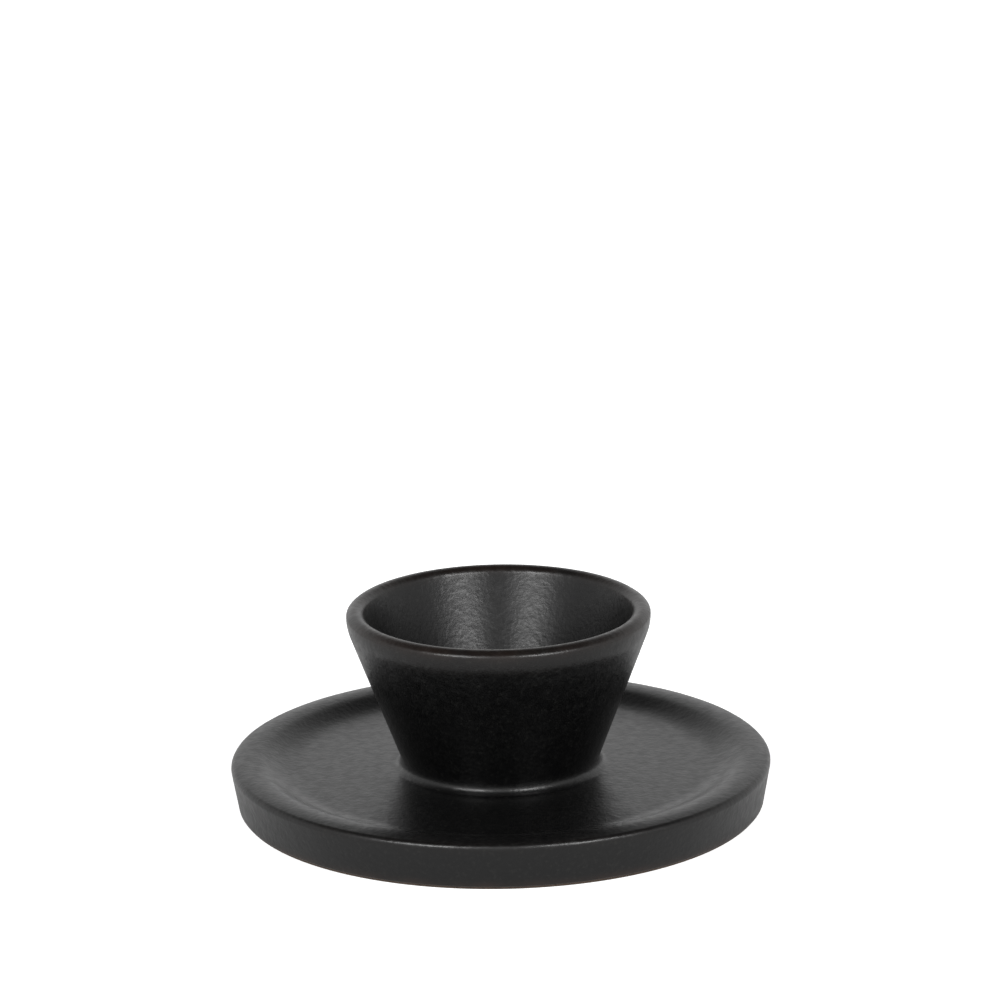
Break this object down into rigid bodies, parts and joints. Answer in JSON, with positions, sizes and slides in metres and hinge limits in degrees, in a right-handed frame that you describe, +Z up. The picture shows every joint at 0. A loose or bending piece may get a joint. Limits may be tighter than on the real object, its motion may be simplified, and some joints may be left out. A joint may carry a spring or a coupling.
{
  "type": "egg cup",
  "caption": "Black glazed stoneware egg cup: a flared round cup luted to its own low saucer with a raised rim, standing on a bare clay foot ring.",
  "frame": {"origin": "centre of the foot ring, on the table", "axes": "+Z up along the axis that the cup and saucer turn round; X and Y are level and alike"},
  "size_m": [0.0914, 0.0914, 0.0346],
  "materials": {
    "clay": "unglazed stoneware, dry and slightly rough",
    "slip": "fired slip, dry and smooth",
    "glaze": "satin black glaze with a fine speckle"
  },
  "bodies": {
    "root": {"saucer_body": "clay", "cup_body": "clay", "joint_slip": "slip", "saucer_glaze": "glaze", "cup_glaze": "glaze", "base_glaze": "glaze"}
  },
  "joints": []
}
